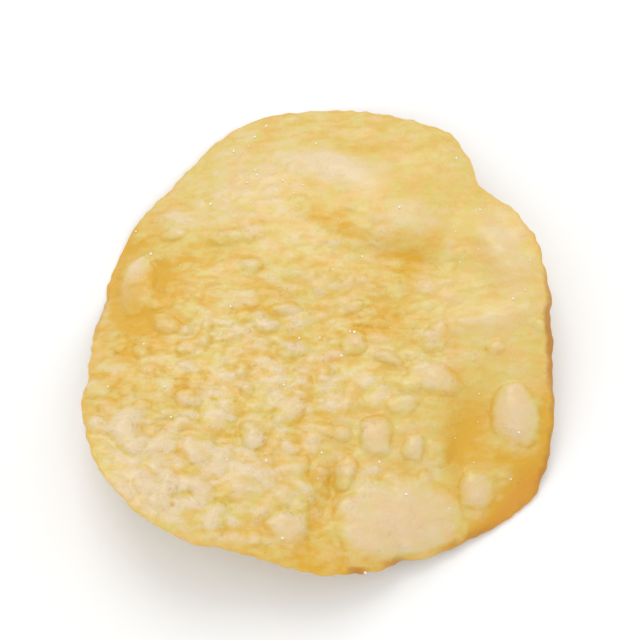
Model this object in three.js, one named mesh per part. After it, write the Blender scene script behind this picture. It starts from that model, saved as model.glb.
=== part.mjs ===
// One potato crisp lying on its own: a thin fried slice, twisted, wavy and blistered.
// Millimetres, +Z up. The origin is on the floor under the middle of the crisp.
import * as THREE from "three";

// Driving dimensions
const WIDTH = 60.5; // along X
const LENGTH = 69.2; // along Y
const WALL = 1.25; // thickness of the slice
const RIM_WALL = 0.55; // thickness left at the rim
const RIM_START = 0.8; // share of the radius where the slice starts to thin
const RIM_BULGE = 0.12; // the rim's middle stands out by this much
const TWIST = 4.8; // rise of the saddle at two opposite corners, fall at the others
const SINK = 0.15; // the three feet are pressed flat by this much
const NET = 44; // cells along each side of the net that covers a face
const CRISP_COLOUR = 0xe9cf92;

// The outline is an ellipse with lobes and dents: angle and spread in degrees, reach in mm.
const LOBES = [
  { at: -168, spread: 8, reach: -0.7 },
  { at: -155, spread: 14, reach: 1.9 },
  { at: -128, spread: 20, reach: 3.5 },
  { at: -107, spread: 10, reach: -2.1 },
  { at: -72, spread: 3, reach: -0.7 },
  { at: -35, spread: 14.5, reach: 4.4 },
  { at: 15, spread: 12, reach: 0.9 },
  { at: 41.5, spread: 6, reach: -2.0 },
  { at: 58, spread: 8, reach: 1.4 },
  { at: 103, spread: 18, reach: 1.3 },
  { at: 129, spread: 15, reach: -1.8 },
];

// Margins that bend down or curl up: start is the share of the radius where the bend begins.
const MARGINS = [
  { at: 166, spread: 24, start: 0.55, rise: -4.6 },
  { at: -56, spread: 26, start: 0.5, rise: -3.8 },
  { at: 80, spread: 30, start: 0.5, rise: -4.8 },
  { at: -130, spread: 24, start: 0.5, rise: 2.4 },
  { at: 14, spread: 22, start: 0.5, rise: 2.2 },
];
const BEND_POWER = 1.6; // how softly each margin starts to bend

// Ripples that run round the rim: how many, where they start, how high, how close to the rim.
const RIPPLES = [
  { count: 5, phase: 0.6, rise: 0.45, power: 4 },
  { count: 9, phase: 2.0, rise: 0.3, power: 6 },
];

// Broad swells and hollows of the whole slice, each an oval turned by some degrees.
const SWELLS = [
  { x: 12.3, y: 14.8, long: 5.0, wide: 4.6, turn: 0, rise: 1.3 },
  { x: 10.7, y: 9.3, long: 8.0, wide: 2.2, turn: -12, rise: -1.1 },
  { x: 2.8, y: 23.6, long: 6.5, wide: 2.8, turn: -20, rise: 0.9 },
  { x: 6.3, y: 29.4, long: 5.0, wide: 1.4, turn: -5, rise: -0.5 },
  { x: 0.7, y: -0.7, long: 8.0, wide: 6.0, turn: 10, rise: -0.9 },
  { x: 19.4, y: -14.8, long: 3.0, wide: 7.0, turn: -20, rise: -1.2 },
  { x: 1.3, y: -23.8, long: 1.4, wide: 9.0, turn: -20, rise: -0.9 },
  { x: 22.2, y: 0.0, long: 6.5, wide: 1.6, turn: 12, rise: 0.6 },
  { x: 24.4, y: 9.2, long: 2.2, wide: 7.0, turn: 28, rise: 0.8 },
  { x: -15.6, y: 9.9, long: 7.0, wide: 1.6, turn: 8, rise: -0.5 },
];

// The blisters that stand out on the shown face.
const BLISTERS = [
  { x: 10.4, y: -27.2, long: 9.2, wide: 5.9, turn: 12, rise: 1.5 },
  { x: 26.0, y: -12.6, long: 3.4, wide: 4.5, turn: 10, rise: 1.5 },
  { x: 20.6, y: -22.4, long: 2.6, wide: 3.0, turn: -25, rise: 1.1 },
  { x: 7.5, y: -16.4, long: 2.2, wide: 2.9, turn: 15, rise: 1.1 },
  { x: 12.3, y: -17.6, long: 1.8, wide: 2.1, turn: 0, rise: 1.0 },
  { x: 3.3, y: -21.3, long: 1.4, wide: 2.5, turn: -15, rise: 0.9 },
  { x: 15.4, y: -8.2, long: 4.1, wide: 2.4, turn: -15, rise: 0.9 },
  { x: 9.4, y: -5.5, long: 2.2, wide: 1.1, turn: -20, rise: 0.7 },
  { x: 10.8, y: -11.8, long: 2.4, wide: 1.4, turn: 10, rise: 0.7 },
  { x: -4.3, y: -28.8, long: 3.0, wide: 2.4, turn: -12, rise: 1.0 },
  { x: -9.0, y: -22.9, long: 4.3, wide: 3.5, turn: 10, rise: 0.8 },
  { x: -15.6, y: -24.1, long: 2.4, wide: 1.5, turn: -20, rise: 0.9 },
  { x: -21.8, y: -24.6, long: 2.3, wide: 1.5, turn: -25, rise: 0.8 },
  { x: -17.9, y: -15.7, long: 3.0, wide: 1.2, turn: 5, rise: 0.8 },
  { x: -25.5, y: -17.0, long: 1.9, wide: 2.4, turn: 20, rise: 0.9 },
  { x: -4.9, y: 1.9, long: 2.4, wide: 1.3, turn: -5, rise: 0.6 },
  { x: -20.0, y: 14.1, long: 2.4, wide: 1.4, turn: 10, rise: 0.4 },
  { x: -13.2, y: 12.9, long: 2.6, wide: 1.3, turn: -5, rise: 0.4 },
  { x: -9.5, y: 8.5, long: 1.8, wide: 1.3, turn: 0, rise: 0.5 },
  { x: 23.5, y: -3.9, long: 1.6, wide: 1.3, turn: 0, rise: 0.6 },
  { x: -25.0, y: 6.2, long: 2.8, wide: 5.4, turn: 4, rise: 1.4 },
];

// Lesser lumps, drawn at random from a fixed seed. They crowd towards the lower left.
const LUMPS = { seed: 7, count: 85, small: 0.9, large: 2.2, height: 0.38 };
const UNDER_LUMPS = { seed: 21, count: 90, small: 1.2, large: 4.2, height: 0.28 };
const CROWD = { far: 5, right: 14, span: 20, least: 0.25 }; // where the shown face's lumps thin out
const LUMP_STRETCH = 0.6; // a lump is up to this share longer than wide
const LUMP_RISE = { least: 0.7, more: 0.5 }; // its height against the even one
const LUMP_REACH = 0.98; // share of the radius inside which lumps are drawn
const RIM_FADE = 0.03; // share of the radius over which lumps fade out at the rim
const BLEND = 3; // lumps that meet run together: the higher, the sharper the joint
const DOME_POWER = 1; // 1 makes each dome a smooth cap with a clear foot

// The angles of the three low places that the crisp rests on, and how far round each is looked for.
const FEET = [166, -56, 80];
const FOOT_SPREAD = 40;
const SETTLE_ROUNDS = 4;

const angleGap = (a, b) => THREE.MathUtils.euclideanModulo(a - b + 180, 360) - 180;
const bell = (t) => Math.exp(-0.5 * t * t);
const clamp = THREE.MathUtils.clamp;

// A repeatable random number from 0 to 1.
function makeDraw(seed) {
  let state = seed;
  return () => {
    state = (Math.imul(1664525, state) + 1013904223) >>> 0;
    return state / 4294967296;
  };
}

// Distance from the middle to the rim at an angle in radians.
function rimRadius(theta) {
  const a = WIDTH / 2;
  const b = LENGTH / 2;
  const degrees = THREE.MathUtils.radToDeg(theta);
  let radius = (a * b) / Math.hypot(b * Math.cos(theta), a * Math.sin(theta));
  for (const lobe of LOBES) radius += lobe.reach * bell(angleGap(degrees, lobe.at) / lobe.spread);
  return radius;
}

// A point's place in an oval: 0 at its middle, 1 on its edge, squared.
function ovalSpan(oval, x, y) {
  const turn = THREE.MathUtils.degToRad(oval.turn);
  const dx = x - oval.x;
  const dy = y - oval.y;
  const along = dx * Math.cos(turn) + dy * Math.sin(turn);
  const across = dy * Math.cos(turn) - dx * Math.sin(turn);
  return (along / oval.long) ** 2 + (across / oval.wide) ** 2;
}

// Height of the middle of the slice.
function middleHeight({ x, y, share, theta }) {
  const degrees = THREE.MathUtils.radToDeg(theta);
  let z = TWIST * (x / (WIDTH / 2)) * (y / (LENGTH / 2));
  for (const margin of MARGINS) {
    const out = Math.max(0, (share - margin.start) / (1 - margin.start));
    z += margin.rise * bell(angleGap(degrees, margin.at) / margin.spread) * out ** BEND_POWER;
  }
  for (const ripple of RIPPLES) {
    z += ripple.rise * share ** ripple.power * Math.cos(ripple.count * theta + ripple.phase);
  }
  for (const swell of SWELLS) z += swell.rise * Math.exp(-ovalSpan(swell, x, y));
  return z;
}

// Half the thickness: even, then thinning to the rim.
function halfWall(share) {
  const out = clamp((share - RIM_START) / (1 - RIM_START), 0, 1);
  return (WALL + (RIM_WALL - WALL) * out * out) / 2;
}

// Small ovals scattered over the slice, kept where the crowd function says so.
function scatter({ seed, count, small, large, height }, crowd) {
  const draw = makeDraw(seed);
  const lumps = [];
  while (lumps.length < count) {
    const theta = draw() * 2 * Math.PI;
    const radius = Math.sqrt(draw()) * LUMP_REACH * rimRadius(theta);
    const size = small + (large - small) * draw() ** 2;
    const stretch = 1 + LUMP_STRETCH * draw();
    const turn = -90 + 180 * draw();
    const rise = size * height * (LUMP_RISE.least + LUMP_RISE.more * draw());
    const lump = { x: radius * Math.cos(theta), y: radius * Math.sin(theta) };
    if (draw() < crowd(lump)) lumps.push({ ...lump, long: size * stretch, wide: size, turn, rise });
  }
  return lumps;
}

// Chance that a lump stays: none on the far side, the most at the near left.
function crowdLowerLeft({ x, y }) {
  const near = clamp((CROWD.far - y) / CROWD.span, 0, 1);
  return near * clamp((CROWD.right - x) / CROWD.span, CROWD.least, 1);
}

// Height of a set of domes that run together where they meet.
function domeHeight(domes, x, y) {
  let sum = 0;
  for (const dome of domes) {
    const span = ovalSpan(dome, x, y);
    if (span < 1) sum += (dome.rise * (1 - span) ** DOME_POWER) ** BLEND;
  }
  return sum ** (1 / BLEND);
}

// Where a corner of the square net lies on the round slice: share of the radius, and angle.
function netPoint(column, row) {
  const a = (2 * column) / NET - 1;
  const b = (2 * row) / NET - 1;
  const sideways = Math.abs(a) > Math.abs(b);
  const reach = sideways ? a : b;
  if (reach === 0) return { x: 0, y: 0, share: 0, theta: 0 };
  const angle = sideways ? (Math.PI / 4) * (b / a) : Math.PI / 2 - (Math.PI / 4) * (a / b);
  const theta = reach < 0 ? angle + Math.PI : angle;
  const share = Math.abs(reach);
  const radius = share * rimRadius(theta);
  return { x: radius * Math.cos(theta), y: radius * Math.sin(theta), share, theta };
}

// All corners of the net with the heights of both faces.
function makeNet() {
  const domes = [...BLISTERS, ...scatter(LUMPS, crowdLowerLeft)];
  const underDomes = scatter(UNDER_LUMPS, () => 1);
  const points = [];
  for (let row = 0; row <= NET; row++) {
    for (let column = 0; column <= NET; column++) {
      const point = netPoint(column, row);
      const middle = middleHeight(point);
      const half = halfWall(point.share);
      const fade = clamp((1 - point.share) / RIM_FADE, 0, 1);
      point.top = middle + half + fade * domeHeight(domes, point.x, point.y);
      point.under = middle - half - fade * domeHeight(underDomes, point.x, point.y);
      points.push(point);
    }
  }
  return points;
}

// Tilts the slice until its three low places are level, then presses them flat on the floor.
function settle(points) {
  for (let round = 0; round < SETTLE_ROUNDS; round++) {
    const feet = FEET.map((at) => {
      const near = points.filter(
        ({ theta }) => Math.abs(angleGap(THREE.MathUtils.radToDeg(theta), at)) < FOOT_SPREAD,
      );
      const low = near.reduce((best, point) => (point.under < best.under ? point : best));
      return new THREE.Vector3(low.x, low.y, low.under);
    });
    const floor = new THREE.Plane().setFromCoplanarPoints(...feet);
    for (const point of points) {
      const level = -(floor.normal.x * point.x + floor.normal.y * point.y + floor.constant) / floor.normal.z;
      point.top -= level;
      point.under -= level;
    }
  }
  for (const point of points) {
    point.top -= SINK;
    point.under = Math.max(0, point.under - SINK);
  }
}

// The net's outer corners in order, anticlockwise seen from above.
function rimIndices() {
  const corner = (column, row) => row * (NET + 1) + column;
  const steps = [...Array(NET).keys()];
  return [
    ...steps.map((step) => corner(step, 0)),
    ...steps.map((step) => corner(NET, step)),
    ...steps.map((step) => corner(NET - step, NET)),
    ...steps.map((step) => corner(0, NET - step)),
  ];
}

// One closed surface: the shown face, the under face and a rounded rim between them.
function crispGeometry() {
  const points = makeNet();
  settle(points);
  const rim = rimIndices();
  const positions = [];
  for (const { x, y, top } of points) positions.push(x, y, top);
  for (const { x, y, under } of points) positions.push(x, y, under);
  for (const index of rim) {
    const { x, y, top, under } = points[index];
    const grow = 1 + RIM_BULGE / Math.hypot(x, y);
    positions.push(x * grow, y * grow, (top + under) / 2);
  }

  const triangles = [];
  const size = points.length;
  for (let row = 0; row < NET; row++) {
    for (let column = 0; column < NET; column++) {
      const a = row * (NET + 1) + column;
      const b = a + 1;
      const c = a + NET + 2;
      const d = a + NET + 1;
      // The cell is split along the line that points away from the middle of the net.
      const outward = (column + 0.5 - NET / 2) * (row + 0.5 - NET / 2) > 0;
      const halves = outward ? [[a, b, c], [a, c, d]] : [[a, b, d], [b, c, d]];
      for (const [p, q, r] of halves) {
        triangles.push(p, q, r);
        triangles.push(p + size, r + size, q + size);
      }
    }
  }
  rim.forEach((top, step) => {
    const nextStep = (step + 1) % rim.length;
    const nextTop = rim[nextStep];
    const middle = 2 * size + step;
    const nextMiddle = 2 * size + nextStep;
    triangles.push(top, middle, nextMiddle, top, nextMiddle, nextTop);
    triangles.push(middle, top + size, nextTop + size, middle, nextTop + size, nextMiddle);
  });

  const geometry = new THREE.BufferGeometry();
  geometry.setAttribute("position", new THREE.Float32BufferAttribute(positions, 3));
  geometry.setIndex(triangles);
  geometry.computeBoundingBox();
  const middle = geometry.boundingBox.getCenter(new THREE.Vector3());
  geometry.translate(-middle.x, -middle.y, 0);
  geometry.computeVertexNormals();
  return geometry;
}

const crisp = new THREE.Mesh(
  crispGeometry(),
  new THREE.MeshStandardMaterial({ color: CRISP_COLOUR, roughness: 0.5, metalness: 0 }),
);
crisp.name = "crisp";

const group = new THREE.Group();
group.add(crisp);

export default group;
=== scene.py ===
"""One potato crisp lying shown side up on a pale floor, under soft light from above and behind."""
from collections import namedtuple

import bmesh
import bpy
import numpy as np
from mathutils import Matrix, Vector


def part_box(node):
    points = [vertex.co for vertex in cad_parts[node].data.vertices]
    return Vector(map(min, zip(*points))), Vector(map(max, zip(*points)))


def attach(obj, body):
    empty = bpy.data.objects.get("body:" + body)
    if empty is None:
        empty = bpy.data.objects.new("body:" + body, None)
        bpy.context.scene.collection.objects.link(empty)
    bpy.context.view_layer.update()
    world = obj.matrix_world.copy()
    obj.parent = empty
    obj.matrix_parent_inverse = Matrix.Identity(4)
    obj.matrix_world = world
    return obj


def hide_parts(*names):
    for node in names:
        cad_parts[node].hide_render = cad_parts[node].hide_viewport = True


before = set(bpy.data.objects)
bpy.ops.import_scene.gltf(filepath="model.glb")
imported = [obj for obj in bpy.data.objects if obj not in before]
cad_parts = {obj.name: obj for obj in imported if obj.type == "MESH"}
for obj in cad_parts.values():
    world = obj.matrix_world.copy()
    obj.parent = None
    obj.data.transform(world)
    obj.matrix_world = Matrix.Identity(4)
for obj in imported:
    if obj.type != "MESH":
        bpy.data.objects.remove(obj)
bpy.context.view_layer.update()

# One millimetre in metres
MM = 0.001

# Sizes of the slice in millimetres, as its solid has them. RIM_START is a share of the radius
WIDTH = 60.5
LENGTH = 69.2
WALL = 1.25
RIM_WALL = 0.55
RIM_START = 0.8
RIM_BULGE = 0.12
TWIST = 4.8
SINK = 0.15

# The fine mesh: steps across its net, and bands of faces round its rim
NET = 214
RIM_ROWS = 5

# The rows of the lists below. An oval has its middle, half length and half width in mm and its turn
# in degrees. Its rise is in mm where it is a form, and a plain strength everywhere else
Lobe = namedtuple("Lobe", "at spread reach")
Margin = namedtuple("Margin", "at spread start rise")
Ripple = namedtuple("Ripple", "count phase rise power")
Oval = namedtuple("Oval", "x y long wide turn rise")
Scatter = namedtuple("Scatter", "seed count small large height")
Pebbles = namedtuple("Pebbles", "cell seed height turn")
Wobble = namedtuple("Wobble", "reach cell seed")
Texture = namedtuple("Texture", "size detail roughness stretch")
Light = namedtuple("Light", "name azimuth elevation distance size power colour")

# The outline is an ellipse with lobes and dents: angle and spread in degrees, reach in mm
LOBES = [
    Lobe(-168, 8, -0.7),
    Lobe(-155, 14, 1.9),
    Lobe(-128, 20, 3.5),
    Lobe(-107, 10, -2.1),
    Lobe(-72, 3, -0.7),
    Lobe(-35, 14.5, 4.4),
    Lobe(15, 12, 0.9),
    Lobe(41.5, 6, -2.0),
    Lobe(58, 8, 1.4),
    Lobe(103, 18, 1.3),
    Lobe(129, 15, -1.8),
]

# Margins that bend down or curl up: angle and spread in degrees, the share of the radius where each
# starts, and its rise in mm
MARGINS = [
    Margin(166, 24, 0.55, -4.6),
    Margin(-56, 26, 0.5, -3.8),
    Margin(80, 30, 0.5, -4.8),
    Margin(-130, 24, 0.5, 2.4),
    Margin(14, 22, 0.5, 2.2),
]
BEND_POWER = 1.6

# Ripples round the rim: how many, phase, rise in mm, and the power by which they fade inwards
RIPPLES = [Ripple(5, 0.6, 0.45, 4), Ripple(9, 2.0, 0.3, 6)]

# Broad swells and hollows of the whole slice
SWELLS = [
    Oval(12.3, 14.8, 5.0, 4.6, 0, 1.3),
    Oval(10.7, 9.3, 8.0, 2.2, -12, -1.1),
    Oval(2.8, 23.6, 6.5, 2.8, -20, 0.9),
    Oval(6.3, 29.4, 5.0, 1.4, -5, -0.5),
    Oval(0.7, -0.7, 8.0, 6.0, 10, -0.9),
    Oval(19.4, -14.8, 3.0, 7.0, -20, -1.2),
    Oval(1.3, -23.8, 1.4, 9.0, -20, -0.9),
    Oval(22.2, 0.0, 6.5, 1.6, 12, 0.6),
    Oval(24.4, 9.2, 2.2, 7.0, 28, 0.8),
    Oval(-15.6, 9.9, 7.0, 1.6, 8, -0.5),
]

# The blisters that stand out on the shown face
BLISTERS = [
    Oval(10.4, -27.2, 9.2, 5.9, 12, 1.5),
    Oval(26.0, -12.6, 3.4, 4.5, 10, 1.5),
    Oval(20.6, -22.4, 2.6, 3.0, -25, 1.1),
    Oval(7.5, -16.4, 2.2, 2.9, 15, 1.1),
    Oval(12.3, -17.6, 1.8, 2.1, 0, 1.0),
    Oval(3.3, -21.3, 1.4, 2.5, -15, 0.9),
    Oval(15.4, -8.2, 4.1, 2.4, -15, 0.9),
    Oval(9.4, -5.5, 2.2, 1.1, -20, 0.7),
    Oval(10.8, -11.8, 2.4, 1.4, 10, 0.7),
    Oval(-4.3, -28.8, 3.0, 2.4, -12, 1.0),
    Oval(-9.0, -22.9, 4.3, 3.5, 10, 0.8),
    Oval(-15.6, -24.1, 2.4, 1.5, -20, 0.9),
    Oval(-21.8, -24.6, 2.3, 1.5, -25, 0.8),
    Oval(-17.9, -15.7, 3.0, 1.2, 5, 0.8),
    Oval(-25.5, -17.0, 1.9, 2.4, 20, 0.9),
    Oval(-4.9, 1.9, 2.4, 1.3, -5, 0.6),
    Oval(-20.0, 14.1, 2.4, 1.4, 10, 0.4),
    Oval(-13.2, 12.9, 2.6, 1.3, -5, 0.4),
    Oval(-9.5, 8.5, 1.8, 1.3, 0, 0.5),
    Oval(23.5, -3.9, 1.6, 1.3, 0, 0.6),
    Oval(-25.0, 6.2, 2.8, 5.4, 4, 1.4),
]

# Lesser lumps of both faces: seed, count, least and greatest size in mm, height as a share of size
LUMPS = Scatter(7, 85, 0.9, 2.2, 0.38)
UNDER_LUMPS = Scatter(21, 90, 1.2, 4.2, 0.28)

# How much longer than wide a lump may be, as a share, its least rise and what may be added to it,
# as shares of the height, and how far out its middle may lie, as a share of the radius
LUMP_STRETCH = 0.6
LUMP_LEAST_RISE = 0.7
LUMP_MORE_RISE = 0.5
LUMP_REACH = 0.98

# The shown face's lumps thin out past these places in mm, over this span, to this share at the right
CROWD_FAR = 5.0
CROWD_RIGHT = 14.0
CROWD_SPAN = 20.0
CROWD_LEAST = 0.25

# What both faces share: how domes fade out at the rim, as a share of the radius, the power by which
# they run together, and what is added to each seed for the under face
RIM_FADE = 0.03
BLEND = 3
UNDER_SEED = 100

# Domes are drawn on bent coordinates, so that no outline is a true oval: reach and cell in mm
WARPS = [Wobble(0.42, 2.9, 51), Wobble(0.18, 1.1, 61)]

# The ragged rim: reach and cell in mm, and how quickly it fades inwards
RAGS = [Wobble(0.28, 3.1, 31), Wobble(0.17, 1.1, 32)]
RAG_POWER = 10

# Fine pebbling: size of a cell in mm, seed, height in mm, turn of the lattice in degrees
PEBBLES = [Pebbles(2.2, 3, 0.30, 9), Pebbles(1.3, 5, 0.18, 41), Pebbles(0.85, 9, 0.09, 68)]

# How much longer than wide a pebble is, and, as shares of its cell, how far its middle keeps from
# the cell's edges, its least reach and what may be added to it
PEBBLE_STRETCH = 1.5
PEBBLE_INSET = 0.15
PEBBLE_LEAST_REACH = 0.45
PEBBLE_MORE_REACH = 0.4

# A pebble's least rise as a share of the height, the powers that shape the spread of rises and the
# dome itself, and the share of the pebbling that is left at the rim
PEBBLE_LEAST_RISE = 0.25
PEBBLE_RISE_POWER = 1.5
PEBBLE_DOME_POWER = 1.2
PEBBLE_AT_RIM = 0.35

# How strong the pebbling is: a base, then ovals where it is stronger or weaker
PEBBLE_BASE = 0.75
PEBBLE_AREAS = [
    Oval(-13.7, -17.8, 14.0, 14.0, 0, 0.7),
    Oval(-4.1, -2.4, 18.0, 10.0, 0, 0.35),
    Oval(10.4, 21.3, 16.0, 8.0, -20, -0.45),
    Oval(24.2, 4.1, 7.0, 14.0, 0, -0.4),
    Oval(19.0, -14.3, 5.0, 8.0, -20, -0.35),
]

# Where the crisp is more golden, or paler where the sum is negative. This is partly its own tone and
# partly painted shade in hollows, below the dome and on margins that bend away from the light. It also
# paints highlights on the dome, the top, the right flap and the left blister's top
TONE_AND_PAINTED_LIGHT_AREAS = [
    Oval(19.9, -15.2, 3.0, 7.5, -15, 0.8),
    # painted shade where the lower right margin bends away from the light
    Oval(27.3, -22.5, 2.4, 7.5, -38, 1.9),
    Oval(24.2, -0.5, 6.0, 9.0, 0, -0.3),
    Oval(21.5, -28.5, 4.0, 1.8, 35, 0.8),
    Oval(1.4, -24.8, 1.5, 8.0, -20, 0.75),
    Oval(1.5, 15.0, 4.5, 1.4, -28, 1.0),
    # painted shadow in the crescent below the dome
    Oval(10.3, 9.6, 3.8, 1.6, -20, 0.55),
    Oval(14.2, 10.2, 3.2, 1.5, 45, 0.6),
    Oval(17.6, 10.5, 0.8, 3.5, -8, -0.5),
    Oval(6.1, 27.0, 4.0, 1.2, -5, 0.6),
    Oval(6.6, -0.6, 5.8, 2.4, 5, 0.7),
    Oval(0.3, 7.9, 3.0, 1.0, -15, 0.4),
    # painted shade on the left margin that bends away from the light, and a painted highlight on its
    # blister's top
    Oval(-25.2, 6.2, 5.0, 9.0, 10, 1.8),
    Oval(-25.4, 9.6, 2.0, 2.0, 0, -1.7),
    Oval(-25.3, 5.2, 2.2, 3.0, 4, -0.7),
    Oval(-14.7, -16.5, 4.0, 1.2, -5, 0.9),
    Oval(-17.9, -10.2, 2.4, 1.6, 0, 0.7),
    Oval(-10.8, -12.7, 2.2, 1.1, 0, 0.6),
    Oval(-15.0, 9.5, 5.0, 1.1, 10, 0.5),
    Oval(0.0, -33.6, 14.0, 1.6, 0, 0.4),
    # painted highlights on the top and on the dome, which face the light
    Oval(2.0, 23.6, 6.0, 2.4, -24, -1.3),
    Oval(12.0, 14.5, 4.0, 3.2, 0, -0.8),
    Oval(3.1, 23.0, 18.0, 5.0, -5, -0.2),
    Oval(-29.6, -10.0, 1.0, 5.0, 8, 0.4),
    Oval(-20.0, 15.5, 3.5, 2.2, 20, -0.5),
    Oval(-19.3, -23.3, 9.0, 6.0, -40, -0.5),
    Oval(-20.9, -28.3, 12.0, 3.0, -50, -0.4),
    Oval(-10.6, 20.5, 12.0, 7.0, 20, -0.35),
    Oval(24.3, 11.8, 2.8, 5.5, 22, -0.8),
    Oval(22.2, 0.0, 5.0, 1.4, 12, -0.4),
    Oval(30.4, -12.9, 1.2, 5.0, 0, 0.9),
    Oval(25.4, -18.8, 2.4, 1.3, -30, 0.9),
    Oval(17.2, -18.0, 1.6, 2.4, -20, 0.6),
    Oval(15.2, -20.6, 1.0, 1.1, 0, -1.1),
]

# Where the rim is browned
BROWN_AREAS = [
    Oval(30.8, -3.0, 2.5, 12.0, 0, 1.0),
    Oval(28.6, -20.0, 3.0, 5.0, -35, 0.7),
    Oval(20.0, -30.0, 6.0, 3.0, 35, 0.8),
    Oval(10.2, -33.0, 2.0, 2.0, 0, 1.0),
    Oval(4.9, -34.3, 1.5, 2.0, 0, 1.0),
    Oval(-5.9, 33.0, 5.0, 2.0, 0, 0.5),
    Oval(-29.3, 2.5, 2.0, 5.0, 0, 0.6),
]

# Painted shade: where the slice is painted orange near its rim, on the lower right margin that
# bends away from the light
ORANGE_SHADE_AREAS = [Oval(26.9, -22.6, 1.5, 6.0, -38, 1.3), Oval(22.0, -27.6, 3.0, 1.3, 38, 0.9)]

# Small reddish spots inside the slice
SPOTS = [Oval(1.7, -5.2, 1.0, 0.7, 20, 0.55), Oval(4.4, -25.0, 0.6, 0.5, 0, 0.5)]

# Salt: how many grains, their least and greatest size in mm, and how far each grain's middle lies
# above the surface as a share of half its size
SALT_COUNT = 70
SALT_SMALL = 0.12
SALT_LARGE = 0.28
SALT_SEED = 12
SALT_LIFT = 0.6
CORNER_CUT = 0.3

# The low places that the crisp rests on: their angles, and how far round each is looked for
FEET = [166, -56, 80]
FOOT_SPREAD = 40
SETTLE_ROUNDS = 4

# Colours as linear red, green, blue and alpha
DEEP_GOLD = (0.655, 0.372, 0.02, 1)
# painted shade: the orange of the margin that bends away from the light
SHADE_ORANGE = (0.64, 0.27, 0.012, 1)
AMBER = (0.70, 0.478, 0.148, 1)
LEMON = (0.66, 0.522, 0.15, 1)
CREAM = (0.715, 0.57, 0.345, 1)
BLISTER_PINK = (0.72, 0.53, 0.32, 1)
RIM_BROWN = (0.42, 0.16, 0.02, 1)
SALT_WHITE = (0.93, 0.90, 0.82, 1)
SPECK_RED = (0.72, 0.28, 0.07, 1)
FLOOR_PALE = (0.90, 0.90, 0.90, 1)
WORLD_WHITE = (1.0, 1.0, 1.0, 1)

# Noises that vary the finish: size of the lumps in mm, layers, how strong each layer is against
# the last, and how the places are squeezed, so that lumps grow long where it is below 1
EVEN = (1.0, 1.0, 1.0)
BROAD = Texture(8.0, 3, 0.5, EVEN)
HUE = Texture(3.2, 2, 0.5, EVEN)
PATCH = Texture(2.2, 3, 0.5, EVEN)
STREAK = Texture(2.2, 3, 0.5, (0.55, 1.0, 1.0))
FIBRE = Texture(1.1, 2, 0.5, (0.5, 1.0, 1.0))
GRAIN = Texture(0.7, 4, 0.6, EVEN)
FINE = Texture(0.3, 3, 0.6, EVEN)
SALT_CLOUD = Texture(0.1, 2, 0.5, EVEN)
SALT_CLOUD_MOST = 0.3

# Random points of the finish: the distance between them in mm
SPECK_CELL = 5.5
BLEB_CELL = 0.8
SMALL_BLEB_CELL = 0.38

# Ranges over which a reading fades in: nothing at the first number, all at the second
BUBBLE_TOP = (0.1, 0.8)
BUBBLE_BODY = (0.2, 0.9)
FOOT_OUTSIDE = (0.0, 0.08)
FOOT_INSIDE = (0.08, 0.4)
FOOT_PATCH = (0.4, 0.6)
PEBBLE_TOP = (0.02, 0.42)
FIBRE_EDGE = (0.38, 0.62)
HUE_EDGE = (0.35, 0.65)
PINK_TOP = (0.3, 1.7)
GOLDEN_AREA = (0.4, 1.3)
GLOW_EDGE = (0.975, 1.01)
BROWN_EDGE = (0.99, 1.015)
SPECK_EDGE = (0.03, 0.075)
SPECK_PATCH = (0.45, 0.6)
SPOT_PATCH = (0.3, 0.5)
BLEB_EDGE = (0.0, 0.55)
BLEB_PATCH = (0.35, 0.65)
SMALL_BLEB_EDGE = (0.0, 0.5)
BUMP_PEBBLE = (0.0, 0.3)
OIL_PATCH = (0.3, 0.6)

# How pale the slice is, 0 for deep gold, a half for yellow and 1 for cream: where it starts, and how
# much each thing adds. What stands up is paler and the hollows more golden, partly the slice's own
# colour and partly painted light and painted shade. PEBBLE_EVEN is the reading at which pebbles make
# it neither paler nor more golden. FIBRE_OFF_BUBBLE is the share of the fibres that blisters hide
PALE_BASE = 0.52
PALE_TONE_AND_LIGHT = -0.55
PALE_BUBBLE = 0.33
PALE_PEBBLE = 0.44
PEBBLE_EVEN = 0.35
PALE_BROAD = 0.45
PALE_STREAK = 0.2
PALE_STREAK_ROUGH = 0.34
PALE_GRAIN = 0.26
PALE_FIBRE = 0.28
FIBRE_OFF_BUBBLE = 0.7
# painted shade in the crease round each blister's foot
PALE_FOOT_SHADE = -0.22

# How strong the other colours are at most, and how much noise sways where each lies. PINK_OFF_TONE
# is what golden areas take from the pink, and BROWN_WIDER how far in the brown comes where it is
# strong, as a share of the radius
PINK_MOST = 0.7
PINK_OFF_TONE = 0.8
PINK_WOBBLE = 0.6
ORANGE_SHADE_MOST = 0.75
ORANGE_SHADE_WOBBLE = 0.5
# painted glow: light through the thin rim, painted as deep gold
RIM_GLOW = 0.24
RIM_GLOW_WOBBLE = 0.04
BROWN_MOST = 0.8
BROWN_WOBBLE = 0.05
BROWN_WIDER = 0.025
SPECK_MOST = 0.5

# The finest relief, by bump: depths in mm, and what each part adds
SMALL_BUMP = 0.07
LARGE_BUMP = 0.16
BUMP_BASE = 0.3
BUMP_ON_PEBBLE = 0.6
BUMP_SMALL_BLEBS = 0.7
BUMP_FINE = 0.6
BUMP_GRAIN = 0.7

# The sheen: roughness, how much two noises vary it, and how strong the oily coat is at most
ROUGH_BASE = 0.42
ROUGH_PATCH = 0.35
ROUGH_GRAIN = 0.3
OIL_MOST = 0.4

# The under face is a little more golden, and has less of the painted orange shade
UNDER_TONE_AND_LIGHT_SHARE = 0.5
UNDER_TONE_MORE = 0.15
UNDER_ORANGE_SHADE_SHARE = 0.5

# The floor, in metres: half its side, and its gap under the crisp
FLOOR_HALF = 6.0
FLOOR_GAP = 0.03 * MM

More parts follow.
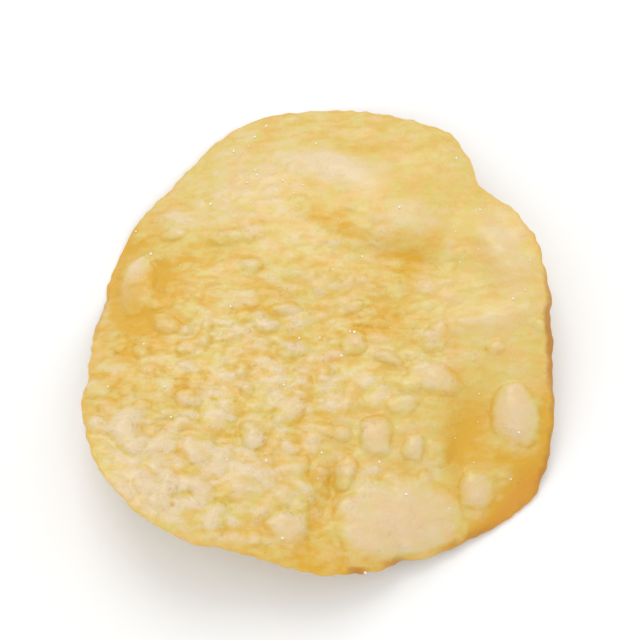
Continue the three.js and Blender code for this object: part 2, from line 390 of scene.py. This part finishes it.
# Soft square lights: their angles in degrees and distance and size in metres, power in watts
LIGHTS = [
    Light("key", -14, 55, 0.7, 0.4, 1.4, (1.0, 0.98, 0.95)),
    Light("fill", 165, 50, 0.8, 0.6, 0.75, (1.0, 1.0, 1.0)),
]

# Even white light from all round
WORLD_STRENGTH = 0.89

# The camera: its angle above the floor in degrees, its distance and nearest sight in metres, and
# its lens in mm
CAMERA_LIFT = 68.0
CAMERA_AWAY = 0.240
CAMERA_NEAR = 0.01
CAMERA_LENS = 100.0

# Whole numbers of the two random rules, as such rules usually have them
DRAW_FACTOR = 1664525
DRAW_STEP = 1013904223
HASH_ACROSS = 374761393
HASH_UP = 668265263
HASH_SEED = 362437
HASH_MIX = 1274126177
SPAN_32 = 2**32
SPAN_24 = 2**24


def bell(t):
    """A bell curve of height 1: e to the power of minus half of t squared."""
    return np.exp(-0.5 * t * t)


def angle_gap(a, b):
    """The turn from b to a in degrees, from -180 to 180."""
    return (a - b + 180) % 360 - 180


def rim_radius(theta):
    """Middle to rim: an ellipse's radius at this angle, plus a bell for each lobe or dent."""
    a, b = WIDTH / 2, LENGTH / 2
    radius = a * b / np.hypot(b * np.cos(theta), a * np.sin(theta))
    for lobe in LOBES:
        radius = radius + lobe.reach * bell(angle_gap(np.degrees(theta), lobe.at) / lobe.spread)
    return radius


def oval_span(oval, x, y):
    """Squared distance from an oval's middle in its own axes: 1 on its edge."""
    turn = np.radians(oval.turn)
    along = (x - oval.x) * np.cos(turn) + (y - oval.y) * np.sin(turn)
    across = (y - oval.y) * np.cos(turn) - (x - oval.x) * np.sin(turn)
    return (along / oval.long) ** 2 + (across / oval.wide) ** 2


def soft_ovals(ovals, x, y):
    """Sum of soft ovals: each is its rise times e to the power of minus its span."""
    return sum(oval.rise * np.exp(-oval_span(oval, x, y)) for oval in ovals)


def middle_height(x, y, share, theta):
    """Height of the slice's middle: a saddle, x times y; each bent margin, a bell round its angle
    times the way out past its start to the bend's power; rim ripples; and the soft swells."""
    z = TWIST * (x / (WIDTH / 2)) * (y / (LENGTH / 2))
    for margin in MARGINS:
        out = np.clip((share - margin.start) / (1 - margin.start), 0, None)
        side = bell(angle_gap(np.degrees(theta), margin.at) / margin.spread)
        z = z + margin.rise * side * out**BEND_POWER
    for ripple in RIPPLES:
        z = z + ripple.rise * share**ripple.power * np.cos(ripple.count * theta + ripple.phase)
    return z + soft_ovals(SWELLS, x, y)


def half_wall(share):
    """Half the thickness: even, then thinning with the square of the way to the rim."""
    out = np.clip((share - RIM_START) / (1 - RIM_START), 0, 1)
    return (WALL + (RIM_WALL - WALL) * out**2) / 2


def make_draw(seed):
    """Repeatable random numbers from 0 to 1: each state is a multiple of the last plus a constant,
    kept to 32 bits."""
    state = seed

    def draw():
        nonlocal state
        state = (DRAW_FACTOR * state + DRAW_STEP) % SPAN_32
        return state / SPAN_32

    return draw


def scatter(plan, crowd):
    """Ovals scattered over the slice: evenly, as the radius goes by a random number's square root,
    and mostly small, as the size goes by a square. The crowd function gives each one's chance to
    stay."""
    draw = make_draw(plan.seed)
    lumps = []
    while len(lumps) < plan.count:
        theta = draw() * 2 * np.pi
        radius = np.sqrt(draw()) * LUMP_REACH * rim_radius(theta)
        size = plan.small + (plan.large - plan.small) * draw() ** 2
        stretch = 1 + LUMP_STRETCH * draw()
        turn = -90 + 180 * draw()
        rise = size * plan.height * (LUMP_LEAST_RISE + LUMP_MORE_RISE * draw())
        x, y = radius * np.cos(theta), radius * np.sin(theta)
        if draw() < crowd(x, y):
            lumps.append(Oval(x, y, size * stretch, size, turn, rise))
    return lumps


def crowd_lower_left(x, y):
    """Chance that a lump stays: none on the far half, most at the near left."""
    near = np.clip((CROWD_FAR - y) / CROWD_SPAN, 0, 1)
    return near * np.clip((CROWD_RIGHT - x) / CROWD_SPAN, CROWD_LEAST, 1)


def crowd_even(x, y):
    """Chance that a lump stays: certain everywhere."""
    return 1


def dome_height(domes, x, y):
    """Domes that run together: each is its rise times (1 - span), and the sum is the cube root of
    the sum of cubes."""
    total = np.zeros_like(x)
    for dome in domes:
        inside = np.clip(1 - oval_span(dome, x, y), 0, None)
        total += (dome.rise * inside) ** BLEND
    return total ** (1 / BLEND)


def cell_random(i, j, seed):
    """A repeatable random number from 0 to 1 for each lattice cell, from an integer hash."""
    n = (i * HASH_ACROSS + j * HASH_UP + seed * HASH_SEED) % SPAN_32
    n = ((n ^ (n >> 13)) * HASH_MIX) % SPAN_32
    return ((n ^ (n >> 16)) % SPAN_24) / SPAN_24


def smooth_noise(x, y, cell, seed):
    """Value noise from -1 to 1: random numbers at lattice corners, blended by a smooth step."""
    u, v = x / cell, y / cell
    i, j = np.floor(u).astype(np.int64), np.floor(v).astype(np.int64)
    f, g = u - i, v - j
    f, g = f * f * (3 - 2 * f), g * g * (3 - 2 * g)
    near = cell_random(i, j, seed) * (1 - f) + cell_random(i + 1, j, seed) * f
    far = cell_random(i, j + 1, seed) * (1 - f) + cell_random(i + 1, j + 1, seed) * f
    return 2 * (near * (1 - g) + far * g) - 1


def pebble_height(plan, x, y):
    """Small domes, one at a random place in each cell of a turned lattice: the height falls as
    (1 - distance squared) to a power from the dome's middle, and the nine nearest run together."""
    turn = np.radians(plan.turn)
    squeezed = x / PEBBLE_STRETCH
    u = (squeezed * np.cos(turn) + y * np.sin(turn)) / plan.cell
    v = (y * np.cos(turn) - squeezed * np.sin(turn)) / plan.cell
    i, j = np.floor(u).astype(np.int64), np.floor(v).astype(np.int64)
    total = np.zeros_like(x)
    for di in (-1, 0, 1):
        for dj in (-1, 0, 1):
            a, b = i + di, j + dj
            du = u - a - PEBBLE_INSET - (1 - 2 * PEBBLE_INSET) * cell_random(a, b, plan.seed)
            dv = v - b - PEBBLE_INSET - (1 - 2 * PEBBLE_INSET) * cell_random(a, b, plan.seed + 1)
            reach = PEBBLE_LEAST_REACH + PEBBLE_MORE_REACH * cell_random(a, b, plan.seed + 2)
            chance = cell_random(a, b, plan.seed + 3) ** PEBBLE_RISE_POWER
            rise = PEBBLE_LEAST_RISE + (1 - PEBBLE_LEAST_RISE) * chance
            inside = np.clip(1 - (du**2 + dv**2) / reach**2, 0, None)
            total += (rise * inside**PEBBLE_DOME_POWER) ** BLEND
    return plan.height * total ** (1 / BLEND)


def round_net():
    """A square net pressed into a disc: on each ring of the square the share of the radius is the
    larger coordinate, and the angle runs evenly along its sides."""
    steps = np.linspace(-1, 1, NET + 1)
    a, b = np.meshgrid(steps, steps)
    sideways = np.abs(a) > np.abs(b)
    reach = np.where(sideways, a, b)
    with np.errstate(divide="ignore", invalid="ignore"):
        angle = np.where(sideways, np.pi / 4 * b / a, np.pi / 2 - np.pi / 4 * a / b)
    angle = np.nan_to_num(angle)
    theta = np.where(reach < 0, angle + np.pi, angle)
    return np.abs(reach), theta


def ragged(share, theta):
    """Small bites and bumps of the outline in mm: noise round a circle of the rim's size, times the
    share of the radius to a high power, so that it fades out quickly inwards."""
    x, y = np.cos(theta) * LENGTH / 2, np.sin(theta) * LENGTH / 2
    return sum(rag.reach * smooth_noise(x, y, rag.cell, rag.seed) for rag in RAGS) * share**RAG_POWER


def pebble_strength(x, y):
    """How strong the pebbling is at a place: the base plus the soft ovals of its areas."""
    return PEBBLE_BASE + soft_ovals(PEBBLE_AREAS, x, y)


def face_relief(x, y, share, domes, seed):
    """Heights of one face: blisters and lumps are domes on places bent by noise, and fade out at the
    rim. The pebbling that lies over them is the sum of its plans times its strength here, less at
    the rim."""
    fade = np.clip((1 - share) / RIM_FADE, 0, 1)
    bent_x, bent_y = x, y
    for warp in WARPS:
        bent_x = bent_x + warp.reach * smooth_noise(x, y, warp.cell, seed + warp.seed)
        bent_y = bent_y + warp.reach * smooth_noise(x, y, warp.cell, seed + warp.seed + 1)
    bubble = dome_height(domes, bent_x, bent_y) * fade
    pebble = sum(pebble_height(plan._replace(seed=plan.seed + seed), x, y) for plan in PEBBLES)
    pebble = pebble * pebble_strength(x, y) * (PEBBLE_AT_RIM + (1 - PEBBLE_AT_RIM) * fade)
    return bubble, pebble


def settle(x, y, theta, top, under):
    """Levels the slice on its three low places: the plane through the lowest point near each foot's
    angle is taken away, a few times over. Then it sinks a little, and what would be under the
    floor is pressed flat."""
    for _ in range(SETTLE_ROUNDS):
        rows = []
        for at in FEET:
            near = np.abs(angle_gap(np.degrees(theta), at)) < FOOT_SPREAD
            low = np.where(near, under, np.inf).argmin()
            rows.append((x.flat[low], y.flat[low], 1.0, under.flat[low]))
        rows = np.array(rows)
        a, b, c = np.linalg.solve(rows[:, :3], rows[:, 3])
        plane = a * x + b * y + c
        top, under = top - plane, under - plane
    return top - SINK, np.maximum(under - SINK, 0)


def rim_indices():
    """The net's outer corners in order, anticlockwise seen from above."""
    corners = np.arange((NET + 1) ** 2).reshape(NET + 1, NET + 1)
    return np.concatenate(
        [corners[0, :-1], corners[:-1, -1], corners[-1, :0:-1], corners[:0:-1, 0]]
    )


def grid_faces(size):
    """Four-sided faces of the net for both sides, those of the under side turned over."""
    corners = np.arange(size).reshape(NET + 1, NET + 1)
    quads = np.stack([corners[:-1, :-1], corners[:-1, 1:], corners[1:, 1:], corners[1:, :-1]], -1)
    quads = quads.reshape(-1, 4)
    return np.concatenate([quads, quads[:, ::-1] + size])


def band_faces(rows):
    """Four-sided faces between one closed row of points and the next, for all the rows."""
    upper, lower = rows[:-1], rows[1:]
    after_upper, after_lower = np.roll(upper, -1, axis=1), np.roll(lower, -1, axis=1)
    return np.stack([upper, lower, after_lower, after_upper], -1).reshape(-1, 4)


def make_mesh(name, points, faces):
    """A smooth-shaded mesh object from arrays of points in metres and of faces."""
    mesh = bpy.data.meshes.new(name)
    mesh.from_pydata(points.tolist(), [], faces.tolist())
    mesh.polygons.foreach_set("use_smooth", np.ones(len(faces), dtype=bool))
    mesh.update()
    piece = bpy.data.objects.new(name, mesh)
    bpy.context.scene.collection.objects.link(piece)
    return piece


def add_attribute(piece, name, shown, hidden):
    """Stores one number for each point of the mesh, for its finish to read: those of the shown face,
    of the under face, and of the rim rows, which take the shown face's at the rim."""
    rim = np.tile(shown.flat[rim_indices()], RIM_ROWS - 1)
    values = np.concatenate([shown.ravel(), hidden.ravel(), rim])
    attribute = piece.data.attributes.new(name, "FLOAT", "POINT")
    attribute.data.foreach_set("value", values.astype(np.float32))


def rim_rows(x, y, top, under):
    """Rows of points between the two faces' rims, on half a circle: they stand out by the bulge
    times the sine of the turn, and sink from the top to the under side with its cosine."""
    rows = []
    for step in range(1, RIM_ROWS):
        turn = np.pi * step / RIM_ROWS
        grow = 1 + RIM_BULGE * np.sin(turn) / np.hypot(x, y)
        sink = (1 - np.cos(turn)) / 2
        rows.append(np.stack([x * grow, y * grow, top * (1 - sink) + under * sink], -1))
    return rows


def slice_mesh(x, y, top, under):
    """The shown face and the under face on one net, joined by the rows round the rim."""
    size = x.size
    rim = rim_indices()
    between = rim_rows(x.flat[rim], y.flat[rim], top.flat[rim], under.flat[rim])
    faces_points = [np.stack([x, y, height], -1).reshape(-1, 3) for height in (top, under)]
    inner = 2 * size + np.arange(len(between) * len(rim)).reshape(len(between), len(rim))
    bands = band_faces(np.concatenate([rim[None], inner, rim[None] + size]))
    return np.concatenate(faces_points + between), np.concatenate([grid_faces(size), bands])


def move_to_box(points):
    """Puts the slice's middle over the middle of its solid's box, and its feet on the box's floor."""
    low, high = np.array(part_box("crisp")) / MM
    centre = (points.min(axis=0) + points.max(axis=0)) / 2
    move = (low + high) / 2 - centre
    move[2] = low[2]
    return points + move


def store_finish(piece, x, y, share, bubbles, pebbles):
    """What the slice's finish reads: its tones by place, and the relief of each face."""
    tone_and_painted_light = soft_ovals(TONE_AND_PAINTED_LIGHT_AREAS, x, y)
    orange_shade = soft_ovals(ORANGE_SHADE_AREAS, x, y)
    spot = soft_ovals(SPOTS, x, y)
    brown = soft_ovals(BROWN_AREAS, x, y)
    rough_area = pebble_strength(x, y)
    add_attribute(piece, "tone_and_painted_light", tone_and_painted_light, tone_and_painted_light * UNDER_TONE_AND_LIGHT_SHARE + UNDER_TONE_MORE)
    add_attribute(piece, "orange_shade", orange_shade, orange_shade * UNDER_ORANGE_SHADE_SHARE)
    add_attribute(piece, "spot", spot, np.zeros_like(spot))
    add_attribute(piece, "brown", brown, brown)
    add_attribute(piece, "rough_area", rough_area, rough_area)
    add_attribute(piece, "edge", share, share)
    add_attribute(piece, "bubble", *bubbles)
    add_attribute(piece, "pebble", *pebbles)


def build_crisp():
    """The fried slice: heights of its two faces over the net, its mesh, and what its finish reads."""
    share, theta = round_net()
    radius = share * rim_radius(theta) + ragged(share, theta)
    x, y = radius * np.cos(theta), radius * np.sin(theta)
    middle = middle_height(x, y, share, theta)
    half = half_wall(share)
    top_domes = BLISTERS + scatter(LUMPS, crowd_lower_left)
    under_domes = scatter(UNDER_LUMPS, crowd_even)
    top_bubble, top_pebble = face_relief(x, y, share, top_domes, 0)
    under_bubble, under_pebble = face_relief(x, y, share, under_domes, UNDER_SEED)
    top = middle + half + top_bubble + top_pebble
    under = middle - half - under_bubble - under_pebble
    top, under = settle(x, y, theta, top, under)
    points, faces = slice_mesh(x, y, top, under)
    piece = make_mesh("fried_slice", move_to_box(points) * MM, faces)
    store_finish(piece, x, y, share, (top_bubble, under_bubble), (top_pebble, under_pebble))
    return piece


class Value:
    """A shader socket with Python's arithmetic: each operator adds one Math node."""

    def __init__(self, finish, socket):
        self.finish = finish
        self.socket = socket

    def math(self, operation, *values):
        return self.finish.node("ShaderNodeMath", {"operation": operation}, dict(enumerate(values)))

    def __add__(self, other):
        return self.math("ADD", self, other)

    def __sub__(self, other):
        return self.math("SUBTRACT", self, other)

    def __rsub__(self, other):
        return self.math("SUBTRACT", other, self)

    def __mul__(self, other):
        return self.math("MULTIPLY", self, other)

    __radd__ = __add__
    __rmul__ = __mul__

    def clip(self):
        """The value held between 0 and 1."""
        settings = {"operation": "ADD", "use_clamp": True}
        return self.finish.node("ShaderNodeMath", settings, {0: self, 1: 0.0})

    def swing(self):
        """A noise from 0 to 1 as a swing from minus a half to a half."""
        return self - 0.5

    def ramp(self, span):
        """0 at the span's first number, 1 at its second, with a smooth step between."""
        settings = {"interpolation_type": "SMOOTHSTEP"}
        inputs = {"Value": self, "From Min": span[0], "From Max": span[1]}
        return self.finish.node("ShaderNodeMapRange", settings, inputs)


class Finish:
    """A material under construction: nodes are added by type, settings and inputs."""

    def __init__(self, name):
        self.material = bpy.data.materials.new(name)
        self.material.use_nodes = True
        self.tree = self.material.node_tree
        self.tree.nodes.clear()

    def node(self, kind, settings=None, inputs=None, output=0):
        """Adds a node, sets its settings, then its inputs, and returns one of its outputs."""
        node = self.tree.nodes.new(kind)
        for name, value in (settings or {}).items():
            setattr(node, name, value)
        for name, value in (inputs or {}).items():
            if isinstance(value, Value):
                self.tree.links.new(value.socket, node.inputs[name])
            else:
                node.inputs[name].default_value = value
        return Value(self, node.outputs[output]) if len(node.outputs) else None

    def place(self):
        """Object coordinates, in metres."""
        return self.node("ShaderNodeTexCoord", output="Object")

    def attribute(self, name):
        return self.node("ShaderNodeAttribute", {"attribute_name": name}, output="Fac")

    def noise(self, texture):
        """Noise from 0 to 1, its lumps as the texture says."""
        settings = {"operation": "MULTIPLY"}
        place = self.node("ShaderNodeVectorMath", settings, {0: self.place(), 1: texture.stretch})
        inputs = {
            "Vector": place,
            "Scale": 1 / (texture.size * MM),
            "Detail": texture.detail,
            "Roughness": texture.roughness,
        }
        return self.node("ShaderNodeTexNoise", None, inputs)

    def cells(self, size):
        """Distance to the nearest of random points that lie about this many millimetres apart, as a
        share of that."""
        inputs = {"Vector": self.place(), "Scale": 1 / (size * MM)}
        return self.node("ShaderNodeTexVoronoi", None, inputs, "Distance")

    def mix(self, amount, first, second):
        """A colour part of the way from the first to the second."""
        inputs = {0: amount, 6: first, 7: second}
        return self.node("ShaderNodeMix", {"data_type": "RGBA"}, inputs, 2)

    def bump(self, height, depth, below=None):
        """A normal bent by a height from 0 to 1 that stands for this many millimetres."""
        inputs = {"Height": height, "Distance": depth * MM, "Strength": 1.0}
        if below is not None:
            inputs["Normal"] = below
        return self.node("ShaderNodeBump", None, inputs)

    def surface(self, **inputs):
        """Ends the material in a Principled surface; underscores in names stand for spaces."""
        named = {name.replace("_", " "): value for name, value in inputs.items()}
        shader = self.node("ShaderNodeBsdfPrincipled", None, named)
        self.node("ShaderNodeOutputMaterial", None, {"Surface": shader})
        return self.material


def paleness(finish, bubble, patch, grain, broad):
    """How pale the slice is: paler on what stands up and more golden in the hollows, partly its own
    colour and partly painted light and painted shade. It is more golden in the areas of tone and painted
    light and in painted shade round the blisters' feet, with streaks and fibres where the pebbling is
    strong."""
    pebble = finish.attribute("pebble")
    rough_area = finish.attribute("rough_area")
    # paler on what stands up and more golden below: partly own colour, partly painted light and painted
    # shade
    raised_and_lit = bubble.ramp(BUBBLE_TOP) * PALE_BUBBLE + (pebble.ramp(PEBBLE_TOP) - PEBBLE_EVEN) * PALE_PEBBLE
    streaks = finish.noise(STREAK).swing() * (PALE_STREAK + rough_area * PALE_STREAK_ROUGH)
    off_bubble = 1 - bubble.ramp(BUBBLE_BODY) * FIBRE_OFF_BUBBLE
    fibres = finish.noise(FIBRE).ramp(FIBRE_EDGE).swing() * rough_area * off_bubble * PALE_FIBRE
    clouds = broad.swing() * PALE_BROAD + grain.swing() * PALE_GRAIN
    # painted shade in the crease round each blister's foot
    foot_shade = bubble.ramp(FOOT_OUTSIDE) * (1 - bubble.ramp(FOOT_INSIDE)) * patch.ramp(FOOT_PATCH) * PALE_FOOT_SHADE
    painted_light_and_tone = finish.attribute("tone_and_painted_light") * PALE_TONE_AND_LIGHT
    return PALE_BASE + painted_light_and_tone + raised_and_lit + streaks + fibres + clouds + foot_shade


def potato_colour(finish, bubble, patch, pale):
    """Deep gold, yellow and cream by paleness, then a pink tinge on the blisters, painted orange shade
    where the margin bends away from the light, a painted golden glow of light through the thin rim,
    the browned rim, and reddish specks."""
    edge = finish.attribute("edge")
    brown = finish.attribute("brown")
    wander = patch.swing()
    yellow = finish.mix(finish.noise(HUE).ramp(HUE_EDGE), AMBER, LEMON)
    colour = finish.mix((pale * 2).clip(), DEEP_GOLD, yellow)
    colour = finish.mix((pale * 2 - 1).clip(), colour, CREAM)
    off_tone = 1 - finish.attribute("tone_and_painted_light").ramp(GOLDEN_AREA) * PINK_OFF_TONE
    pink = (bubble + wander * PINK_WOBBLE).ramp(PINK_TOP) * off_tone
    colour = finish.mix(pink * PINK_MOST, colour, BLISTER_PINK)
    # painted shade: orange where the margin bends away from the light
    orange_shade = (finish.attribute("orange_shade") + wander * ORANGE_SHADE_WOBBLE).clip()
    colour = finish.mix(orange_shade * ORANGE_SHADE_MOST, colour, SHADE_ORANGE)
    # painted glow: light through the thin rim, painted as deep gold
    glow = (edge + wander * RIM_GLOW_WOBBLE).ramp(GLOW_EDGE)
    colour = finish.mix(glow * RIM_GLOW, colour, DEEP_GOLD)
    browned = (edge + wander * BROWN_WOBBLE + brown * BROWN_WIDER).ramp(BROWN_EDGE) * brown.clip()
    colour = finish.mix(browned * BROWN_MOST, colour, RIM_BROWN)
    speck = (1 - finish.cells(SPECK_CELL).ramp(SPECK_EDGE)) * patch.ramp(SPECK_PATCH) * SPECK_MOST
    spot = finish.attribute("spot") * patch.ramp(SPOT_PATCH)
    return finish.mix((speck + spot).clip(), colour, SPECK_RED)


def potato_normal(finish, patch, grain):
    """The finest relief: small blebs and grain, stronger where the pebbles stand up."""
    blebs = 1 - finish.cells(BLEB_CELL).ramp(BLEB_EDGE)
    small_blebs = 1 - finish.cells(SMALL_BLEB_CELL).ramp(SMALL_BLEB_EDGE)
    strong = BUMP_BASE + finish.attribute("pebble").ramp(BUMP_PEBBLE) * BUMP_ON_PEBBLE
    small = small_blebs * BUMP_SMALL_BLEBS + finish.noise(FINE) * BUMP_FINE
    large = blebs * patch.ramp(BLEB_PATCH) + grain * BUMP_GRAIN
    return finish.bump(large * strong, LARGE_BUMP, finish.bump(small * strong, SMALL_BUMP))


def fried_potato():
    """The finish of the slice: pale yellow potato with a thin oily sheen."""
    finish = Finish("fried_potato")
    bubble = finish.attribute("bubble")
    broad = finish.noise(BROAD)
    patch = finish.noise(PATCH)
    grain = finish.noise(GRAIN)
    pale = paleness(finish, bubble, patch, grain, broad)
    rough = ROUGH_BASE + patch.swing() * ROUGH_PATCH + grain.swing() * ROUGH_GRAIN
    return finish.surface(
        Base_Color=potato_colour(finish, bubble, patch, pale),
        Roughness=rough.clip(),
        IOR=1.42,
        Subsurface_Weight=0.3,
        Subsurface_Radius=(1.0, 0.6, 0.25),
        Subsurface_Scale=0.6 * MM,
        Coat_Weight=broad.ramp(OIL_PATCH) * OIL_MOST,
        Coat_Roughness=0.22,
        Normal=potato_normal(finish, patch, grain),
    )


def pale_floor():
    """Matt near white."""
    finish = Finish("floor_matt")
    return finish.surface(Base_Color=FLOOR_PALE, Roughness=0.7)


def salt_grain():
    """Small white crystals."""
    finish = Finish("salt_grain")
    return finish.surface(
        Base_Color=finish.mix(finish.noise(SALT_CLOUD) * SALT_CLOUD_MOST, SALT_WHITE, CREAM),
        Roughness=0.25,
        Subsurface_Weight=0.5,
        Subsurface_Radius=(1.0, 1.0, 1.0),
        Subsurface_Scale=0.2 * MM,
    )


def corner_cut_cube():
    """The points of a cube of side 2 with its eight corners cut off: three for each corner, one on
    each of its edges."""
    cut = 1 - CORNER_CUT
    signs = np.array([(a, b, c) for a in (-1, 1) for b in (-1, 1) for c in (-1, 1)], dtype=float)
    points = np.repeat(signs, 3, axis=0)
    for axis in range(3):
        points[axis::3, axis] *= cut
    return points


def convex_faces(points):
    """The triangles round a convex set of points, facing outwards, from Blender's convex hull."""
    shape = bmesh.new()
    for point in points:
        shape.verts.new(point)
    bmesh.ops.convex_hull(shape, input=shape.verts)
    shape.verts.index_update()
    faces = [[vert.index for vert in face.verts] for face in shape.faces]
    shape.free()
    return np.array(faces)


def turn_matrices(random, count):
    """Random turns: each from a unit quaternion of four normal random numbers."""
    quaternions = random.normal(size=(4, count))
    w, x, y, z = quaternions / np.linalg.norm(quaternions, axis=0)
    rows = [
        [1 - 2 * (y * y + z * z), 2 * (x * y - w * z), 2 * (x * z + w * y)],
        [2 * (x * y + w * z), 1 - 2 * (x * x + z * z), 2 * (y * z - w * x)],
        [2 * (x * z - w * y), 2 * (y * z + w * x), 1 - 2 * (x * x + y * y)],
    ]
    return np.array(rows).transpose(2, 0, 1)


def build_salt(piece):
    """Grains on random points of the shown face: one cut cube, scaled, turned and partly sunk."""
    random = np.random.default_rng(SALT_SEED)
    mesh = piece.data
    places = np.empty(len(mesh.vertices) * 3)
    normals = np.empty(len(mesh.vertices) * 3)
    mesh.vertices.foreach_get("co", places)
    mesh.vertices.foreach_get("normal", normals)
    picked = random.choice((NET + 1) ** 2, SALT_COUNT, replace=False)
    places, normals = places.reshape(-1, 3)[picked], normals.reshape(-1, 3)[picked]
    half = random.uniform(SALT_SMALL, SALT_LARGE, SALT_COUNT) / 2 * MM
    grain = corner_cut_cube()
    faces = convex_faces(grain)
    turned = np.einsum("nij,pj->npi", turn_matrices(random, SALT_COUNT), grain)
    middles = places + normals * half[:, None] * SALT_LIFT
    points = turned * half[:, None, None] + middles[:, None, :]
    faces = faces[None] + (np.arange(SALT_COUNT) * len(grain))[:, None, None]
    salt = make_mesh("salt_grains", points.reshape(-1, 3), faces.reshape(-1, 3))
    salt.data.polygons.foreach_set("use_smooth", np.zeros(len(salt.data.polygons), dtype=bool))
    return salt


def add_crisp():
    """The fried slice, in the place of its solid."""
    slice_piece = build_crisp()
    slice_piece.data.materials.append(fried_potato())
    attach(slice_piece, "root")
    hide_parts("crisp")
    return slice_piece


def add_salt(slice_piece):
    """A little salt on the slice."""
    salt = build_salt(slice_piece)
    salt.data.materials.append(salt_grain())
    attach(salt, "root")


def add_floor():
    """A flat square just under the crisp's feet."""
    corners = np.array([(-1, -1, 0), (1, -1, 0), (1, 1, 0), (-1, 1, 0)]) * FLOOR_HALF
    corners[:, 2] -= FLOOR_GAP
    floor = make_mesh("floor", corners, np.array([[0, 1, 2, 3]]))
    floor.data.materials.append(pale_floor())


def add_light(light):
    """A square soft light that looks at the middle of the crisp."""
    data = bpy.data.lights.new(light.name, "AREA")
    data.shape = "SQUARE"
    data.size = light.size
    data.energy = light.power
    data.color = light.colour
    lamp = bpy.data.objects.new(light.name, data)
    turn, lift = np.radians(light.azimuth), np.radians(light.elevation)
    place = Vector((np.sin(turn) * np.cos(lift), np.cos(turn) * np.cos(lift), np.sin(lift)))
    lamp.location = place * light.distance
    lamp.rotation_euler = place.to_track_quat("Z", "Y").to_euler()
    bpy.context.scene.collection.objects.link(lamp)


def add_lights():
    """Soft studio light: the main one from beyond the top of the picture, a fill from the near side,
    and an even white world. The picture shows its colours as they are, with no film curve."""
    for light in LIGHTS:
        add_light(light)
    world = bpy.data.worlds.new("studio")
    bpy.context.scene.world = world
    world.use_nodes = True
    background = world.node_tree.nodes["Background"]
    background.inputs["Color"].default_value = WORLD_WHITE
    background.inputs["Strength"].default_value = WORLD_STRENGTH
    bpy.context.scene.view_settings.view_transform = "Standard"


def add_camera():
    """A camera that looks down on the crisp's middle from its near side."""
    data = bpy.data.cameras.new("camera")
    data.lens = CAMERA_LENS
    data.clip_start = CAMERA_NEAR
    camera = bpy.data.objects.new("camera", data)
    bpy.context.scene.collection.objects.link(camera)
    low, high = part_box("crisp")
    lift = np.radians(CAMERA_LIFT)
    sight = Vector((0, -np.cos(lift), np.sin(lift)))
    camera.location = (Vector(low) + Vector(high)) / 2 + sight * CAMERA_AWAY
    camera.rotation_euler = sight.to_track_quat("Z", "Y").to_euler()
    bpy.context.scene.camera = camera


add_salt(add_crisp())
add_floor()
add_lights()
add_camera()
